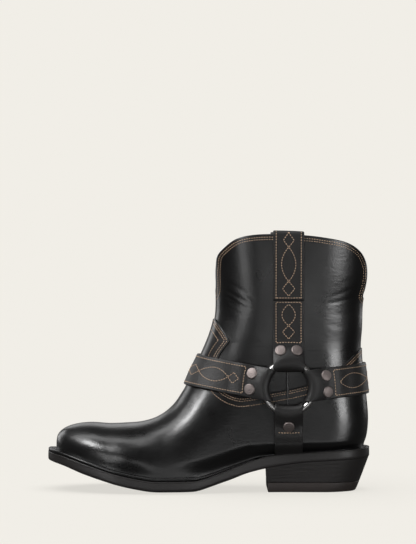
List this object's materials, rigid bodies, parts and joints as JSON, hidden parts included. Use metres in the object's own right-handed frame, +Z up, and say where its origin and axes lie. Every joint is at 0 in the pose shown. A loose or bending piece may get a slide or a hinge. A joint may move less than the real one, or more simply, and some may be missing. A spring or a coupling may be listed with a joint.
{
  "type": "harness boot",
  "caption": "Left western ankle boot with scalloped shaft, low slanted heel and a riveted strap harness joined by a steel ring on each side.",
  "frame": {"origin": "on the floor under the middle of the bounding box", "axes": "+X towards the heel, -X towards the toe, -Y towards the outer (lateral) side, +Z up"},
  "size_m": [0.285, 0.1012, 0.2282],
  "materials": {
    "upper_leather": "smooth polished black leather, semi-gloss",
    "strap_leather": "black bridle leather, slightly grained, satin",
    "sole": "dark stained sole edge, waxed",
    "top_lift": "dark rubber, matt",
    "insole": "natural leather, matt",
    "ring_steel": "satin brushed, slightly antiqued",
    "rivet_metal": "antique pewter, satin"
  },
  "bodies": {
    "root": {"outsole": "sole", "welt": "sole", "heel_stack": "sole", "top_lift": "top_lift", "insole": "insole", "upper": "upper_leather", "front_strap": "strap_leather", "rear_strap": "strap_leather", "pull_strap_lateral": "strap_leather", "hanger_strap_lateral": "strap_leather", "lower_strap_lateral": "strap_leather", "ring_lateral": "ring_steel", "rivet_hanger_front_lateral": "rivet_metal", "rivet_hanger_rear_lateral": "rivet_metal", "rivet_front_upper_lateral": "rivet_metal", "rivet_front_lower_lateral": "rivet_metal", "rivet_rear_upper_lateral": "rivet_metal", "rivet_rear_lower_lateral": "rivet_metal", "rivet_lower_lateral": "rivet_metal", "pull_strap_medial": "strap_leather", "hanger_strap_medial": "strap_leather", "lower_strap_medial": "strap_leather", "ring_medial": "ring_steel", "rivet_hanger_front_medial": "rivet_metal", "rivet_hanger_rear_medial": "rivet_metal", "rivet_front_upper_medial": "rivet_metal", "rivet_front_lower_medial": "rivet_metal", "rivet_rear_upper_medial": "rivet_metal", "rivet_rear_lower_medial": "rivet_metal", "rivet_lower_medial": "rivet_metal"}
  },
  "joints": []
}
